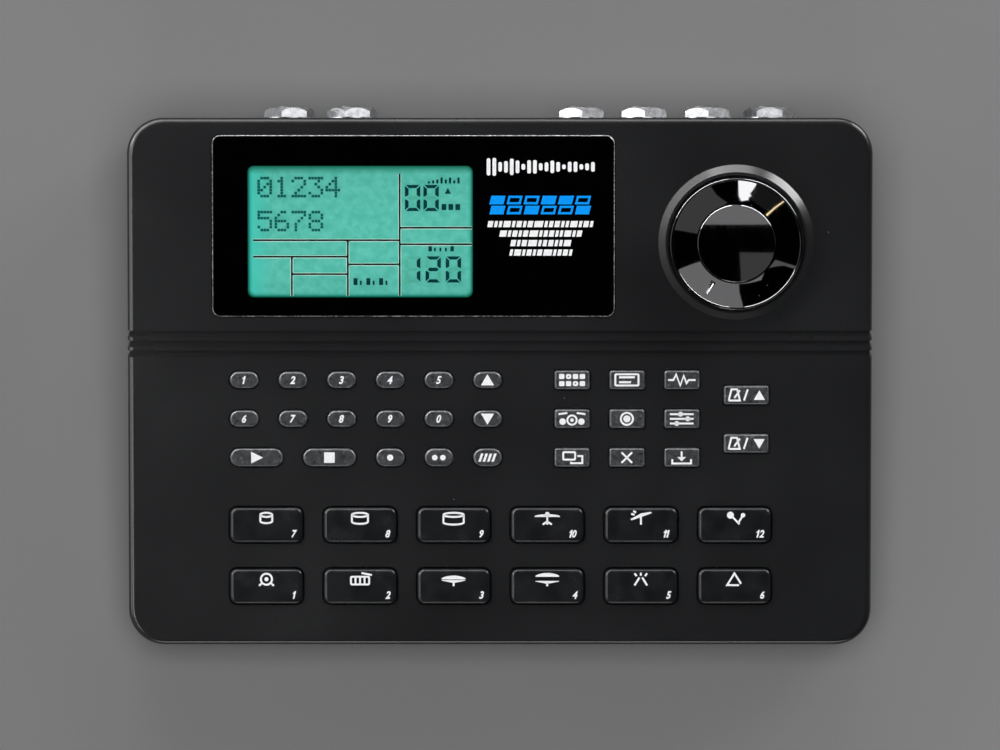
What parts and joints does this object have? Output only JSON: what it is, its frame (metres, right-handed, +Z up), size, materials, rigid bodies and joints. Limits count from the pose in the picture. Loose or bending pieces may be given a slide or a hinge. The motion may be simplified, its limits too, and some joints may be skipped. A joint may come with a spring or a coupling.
{
  "type": "drum machine",
  "caption": "Desktop drum machine: a black wedge case with a lit display, a large volume knob, number and function keys, playing pads and rear jacks.",
  "frame": {"origin": "on the ground under the middle of the bounding box", "axes": "+X to the right, +Y to the rear, where the jacks are, +Z up"},
  "size_m": [0.238, 0.1728, 0.051],
  "materials": {
    "case_plastic": "black, finely textured",
    "window_gloss": "black, polished, clear over the display",
    "display_glass": "green, lit from behind",
    "knob_gloss": "black, polished",
    "key_rubber": "dark grey, satin",
    "pad_rubber": "black, satin",
    "mat_rubber": "grey",
    "foot_rubber": "black, matte",
    "nickel": "nickel plated",
    "screw_steel": "zinc plated",
    "can_steel": "plain",
    "board_green": "green solder mask",
    "socket_plastic": "black, moulded",
    "chip_epoxy": "black, moulded",
    "ribbon_grey": "grey"
  },
  "bodies": {
    "case": {"top_case": "case_plastic", "bottom_case": "case_plastic", "rear_panel": "case_plastic", "rubber_feet": "foot_rubber", "machine_screws": "screw_steel", "display_window": "window_gloss", "display_module": "display_glass", "volume_pot": "can_steel", "panel_board": "board_green", "button_mats": "mat_rubber", "main_board": "board_green", "board_components": "chip_epoxy", "ribbon_cable": "ribbon_grey", "audio_jacks": "socket_plastic", "jack_hardware": "nickel", "din_sockets": "socket_plastic", "power_inlet": "socket_plastic", "switch_housing": "can_steel"},
    "volume_knob": {"volume_knob": "knob_gloss"},
    "switch_lever": {"switch_lever": "socket_plastic"},
    "drum_pad_1": {"drum_pad_1": "pad_rubber"},
    "drum_pad_2": {"drum_pad_2": "pad_rubber"},
    "drum_pad_3": {"drum_pad_3": "pad_rubber"},
    "drum_pad_4": {"drum_pad_4": "pad_rubber"},
    "drum_pad_5": {"drum_pad_5": "pad_rubber"},
    "drum_pad_6": {"drum_pad_6": "pad_rubber"},
    "drum_pad_7": {"drum_pad_7": "pad_rubber"},
    "drum_pad_8": {"drum_pad_8": "pad_rubber"},
    "drum_pad_9": {"drum_pad_9": "pad_rubber"},
    "drum_pad_10": {"drum_pad_10": "pad_rubber"},
    "drum_pad_11": {"drum_pad_11": "pad_rubber"},
    "drum_pad_12": {"drum_pad_12": "pad_rubber"},
    "number_key_1": {"number_key_1": "key_rubber"},
    "number_key_2": {"number_key_2": "key_rubber"},
    "number_key_3": {"number_key_3": "key_rubber"},
    "number_key_4": {"number_key_4": "key_rubber"},
    "number_key_5": {"number_key_5": "key_rubber"},
    "up_key": {"up_key": "key_rubber"},
    "number_key_6": {"number_key_6": "key_rubber"},
    "number_key_7": {"number_key_7": "key_rubber"},
    "number_key_8": {"number_key_8": "key_rubber"},
    "number_key_9": {"number_key_9": "key_rubber"},
    "number_key_0": {"number_key_0": "key_rubber"},
    "down_key": {"down_key": "key_rubber"},
    "play_key": {"play_key": "key_rubber"},
    "stop_key": {"stop_key": "key_rubber"},
    "a_key": {"a_key": "key_rubber"},
    "b_key": {"b_key": "key_rubber"},
    "fill_key": {"fill_key": "key_rubber"},
    "pattern_key": {"pattern_key": "key_rubber"},
    "preset_key": {"preset_key": "key_rubber"},
    "perform_key": {"perform_key": "key_rubber"},
    "drum_set_key": {"drum_set_key": "key_rubber"},
    "record_key": {"record_key": "key_rubber"},
    "setup_key": {"setup_key": "key_rubber"},
    "copy_key": {"copy_key": "key_rubber"},
    "erase_key": {"erase_key": "key_rubber"},
    "backup_key": {"backup_key": "key_rubber"},
    "tempo_up_key": {"tempo_up_key": "key_rubber"},
    "tempo_down_key": {"tempo_down_key": "key_rubber"}
  },
  "joints": [
    {"name": "volume_turn", "type": "hinge", "parent": "case", "child": "volume_knob", "pos_m": [0.07551, 0.04244, 0.04279], "axis": [0, 0.1179, -0.993], "range_deg": [0, 300]},
    {"name": "power_slide", "type": "slide", "parent": "case", "child": "switch_lever", "axis": [1, 0, 0], "range_m": [-0.004, 0]},
    {"name": "drum_pad_1_press", "type": "slide", "parent": "case", "child": "drum_pad_1", "axis": [0, 0.1179, -0.993], "range_m": [0, 0.001], "stiffness_N_per_m": 900, "springref_m": -0.0015},
    {"name": "drum_pad_2_press", "type": "slide", "parent": "case", "child": "drum_pad_2", "axis": [0, 0.1179, -0.993], "range_m": [0, 0.001], "stiffness_N_per_m": 900, "springref_m": -0.0015},
    {"name": "drum_pad_3_press", "type": "slide", "parent": "case", "child": "drum_pad_3", "axis": [0, 0.1179, -0.993], "range_m": [0, 0.001], "stiffness_N_per_m": 900, "springref_m": -0.0015},
    {"name": "drum_pad_4_press", "type": "slide", "parent": "case", "child": "drum_pad_4", "axis": [0, 0.1179, -0.993], "range_m": [0, 0.001], "stiffness_N_per_m": 900, "springref_m": -0.0015},
    {"name": "drum_pad_5_press", "type": "slide", "parent": "case", "child": "drum_pad_5", "axis": [0, 0.1179, -0.993], "range_m": [0, 0.001], "stiffness_N_per_m": 900, "springref_m": -0.0015},
    {"name": "drum_pad_6_press", "type": "slide", "parent": "case", "child": "drum_pad_6", "axis": [0, 0.1179, -0.993], "range_m": [0, 0.001], "stiffness_N_per_m": 900, "springref_m": -0.0015},
    {"name": "drum_pad_7_press", "type": "slide", "parent": "case", "child": "drum_pad_7", "axis": [0, 0.1179, -0.993], "range_m": [0, 0.001], "stiffness_N_per_m": 900, "springref_m": -0.0015},
    {"name": "drum_pad_8_press", "type": "slide", "parent": "case", "child": "drum_pad_8", "axis": [0, 0.1179, -0.993], "range_m": [0, 0.001], "stiffness_N_per_m": 900, "springref_m": -0.0015},
    {"name": "drum_pad_9_press", "type": "slide", "parent": "case", "child": "drum_pad_9", "axis": [0, 0.1179, -0.993], "range_m": [0, 0.001], "stiffness_N_per_m": 900, "springref_m": -0.0015},
    {"name": "drum_pad_10_press", "type": "slide", "parent": "case", "child": "drum_pad_10", "axis": [0, 0.1179, -0.993], "range_m": [0, 0.001], "stiffness_N_per_m": 900, "springref_m": -0.0015},
    {"name": "drum_pad_11_press", "type": "slide", "parent": "case", "child": "drum_pad_11", "axis": [0, 0.1179, -0.993], "range_m": [0, 0.001], "stiffness_N_per_m": 900, "springref_m": -0.0015},
    {"name": "drum_pad_12_press", "type": "slide", "parent": "case", "child": "drum_pad_12", "axis": [0, 0.1179, -0.993], "range_m": [0, 0.001], "stiffness_N_per_m": 900, "springref_m": -0.0015},
    {"name": "number_key_1_press", "type": "slide", "parent": "case", "child": "number_key_1", "axis": [0, 0.1179, -0.993], "range_m": [0, 0.0012], "stiffness_N_per_m": 500, "springref_m": -0.0015},
    {"name": "number_key_2_press", "type": "slide", "parent": "case", "child": "number_key_2", "axis": [0, 0.1179, -0.993], "range_m": [0, 0.0012], "stiffness_N_per_m": 500, "springref_m": -0.0015},
    {"name": "number_key_3_press", "type": "slide", "parent": "case", "child": "number_key_3", "axis": [0, 0.1179, -0.993], "range_m": [0, 0.0012], "stiffness_N_per_m": 500, "springref_m": -0.0015},
    {"name": "number_key_4_press", "type": "slide", "parent": "case", "child": "number_key_4", "axis": [0, 0.1179, -0.993], "range_m": [0, 0.0012], "stiffness_N_per_m": 500, "springref_m": -0.0015},
    {"name": "number_key_5_press", "type": "slide", "parent": "case", "child": "number_key_5", "axis": [0, 0.1179, -0.993], "range_m": [0, 0.0012], "stiffness_N_per_m": 500, "springref_m": -0.0015},
    {"name": "up_key_press", "type": "slide", "parent": "case", "child": "up_key", "axis": [0, 0.1179, -0.993], "range_m": [0, 0.0012], "stiffness_N_per_m": 500, "springref_m": -0.0015},
    {"name": "number_key_6_press", "type": "slide", "parent": "case", "child": "number_key_6", "axis": [0, 0.1179, -0.993], "range_m": [0, 0.0012], "stiffness_N_per_m": 500, "springref_m": -0.0015},
    {"name": "number_key_7_press", "type": "slide", "parent": "case", "child": "number_key_7", "axis": [0, 0.1179, -0.993], "range_m": [0, 0.0012], "stiffness_N_per_m": 500, "springref_m": -0.0015},
    {"name": "number_key_8_press", "type": "slide", "parent": "case", "child": "number_key_8", "axis": [0, 0.1179, -0.993], "range_m": [0, 0.0012], "stiffness_N_per_m": 500, "springref_m": -0.0015},
    {"name": "number_key_9_press", "type": "slide", "parent": "case", "child": "number_key_9", "axis": [0, 0.1179, -0.993], "range_m": [0, 0.0012], "stiffness_N_per_m": 500, "springref_m": -0.0015},
    {"name": "number_key_0_press", "type": "slide", "parent": "case", "child": "number_key_0", "axis": [0, 0.1179, -0.993], "range_m": [0, 0.0012], "stiffness_N_per_m": 500, "springref_m": -0.0015},
    {"name": "down_key_press", "type": "slide", "parent": "case", "child": "down_key", "axis": [0, 0.1179, -0.993], "range_m": [0, 0.0012], "stiffness_N_per_m": 500, "springref_m": -0.0015},
    {"name": "play_key_press", "type": "slide", "parent": "case", "child": "play_key", "axis": [0, 0.1179, -0.993], "range_m": [0, 0.0012], "stiffness_N_per_m": 500, "springref_m": -0.0015},
    {"name": "stop_key_press", "type": "slide", "parent": "case", "child": "stop_key", "axis": [0, 0.1179, -0.993], "range_m": [0, 0.0012], "stiffness_N_per_m": 500, "springref_m": -0.0015},
    {"name": "a_key_press", "type": "slide", "parent": "case", "child": "a_key", "axis": [0, 0.1179, -0.993], "range_m": [0, 0.0012], "stiffness_N_per_m": 500, "springref_m": -0.0015},
    {"name": "b_key_press", "type": "slide", "parent": "case", "child": "b_key", "axis": [0, 0.1179, -0.993], "range_m": [0, 0.0012], "stiffness_N_per_m": 500, "springref_m": -0.0015},
    {"name": "fill_key_press", "type": "slide", "parent": "case", "child": "fill_key", "axis": [0, 0.1179, -0.993], "range_m": [0, 0.0012], "stiffness_N_per_m": 500, "springref_m": -0.0015},
    {"name": "pattern_key_press", "type": "slide", "parent": "case", "child": "pattern_key", "axis": [0, 0.1179, -0.993], "range_m": [0, 0.0012], "stiffness_N_per_m": 500, "springref_m": -0.0015},
    {"name": "preset_key_press", "type": "slide", "parent": "case", "child": "preset_key", "axis": [0, 0.1179, -0.993], "range_m": [0, 0.0012], "stiffness_N_per_m": 500, "springref_m": -0.0015},
    {"name": "perform_key_press", "type": "slide", "parent": "case", "child": "perform_key", "axis": [0, 0.1179, -0.993], "range_m": [0, 0.0012], "stiffness_N_per_m": 500, "springref_m": -0.0015},
    {"name": "drum_set_key_press", "type": "slide", "parent": "case", "child": "drum_set_key", "axis": [0, 0.1179, -0.993], "range_m": [0, 0.0012], "stiffness_N_per_m": 500, "springref_m": -0.0015},
    {"name": "record_key_press", "type": "slide", "parent": "case", "child": "record_key", "axis": [0, 0.1179, -0.993], "range_m": [0, 0.0012], "stiffness_N_per_m": 500, "springref_m": -0.0015},
    {"name": "setup_key_press", "type": "slide", "parent": "case", "child": "setup_key", "axis": [0, 0.1179, -0.993], "range_m": [0, 0.0012], "stiffness_N_per_m": 500, "springref_m": -0.0015},
    {"name": "copy_key_press", "type": "slide", "parent": "case", "child": "copy_key", "axis": [0, 0.1179, -0.993], "range_m": [0, 0.0012], "stiffness_N_per_m": 500, "springref_m": -0.0015},
    {"name": "erase_key_press", "type": "slide", "parent": "case", "child": "erase_key", "axis": [0, 0.1179, -0.993], "range_m": [0, 0.0012], "stiffness_N_per_m": 500, "springref_m": -0.0015},
    {"name": "backup_key_press", "type": "slide", "parent": "case", "child": "backup_key", "axis": [0, 0.1179, -0.993], "range_m": [0, 0.0012], "stiffness_N_per_m": 500, "springref_m": -0.0015},
    {"name": "tempo_up_key_press", "type": "slide", "parent": "case", "child": "tempo_up_key", "axis": [0, 0.1179, -0.993], "range_m": [0, 0.0012], "stiffness_N_per_m": 500, "springref_m": -0.0015},
    {"name": "tempo_down_key_press", "type": "slide", "parent": "case", "child": "tempo_down_key", "axis": [0, 0.1179, -0.993], "range_m": [0, 0.0012], "stiffness_N_per_m": 500, "springref_m": -0.0015}
  ]
}
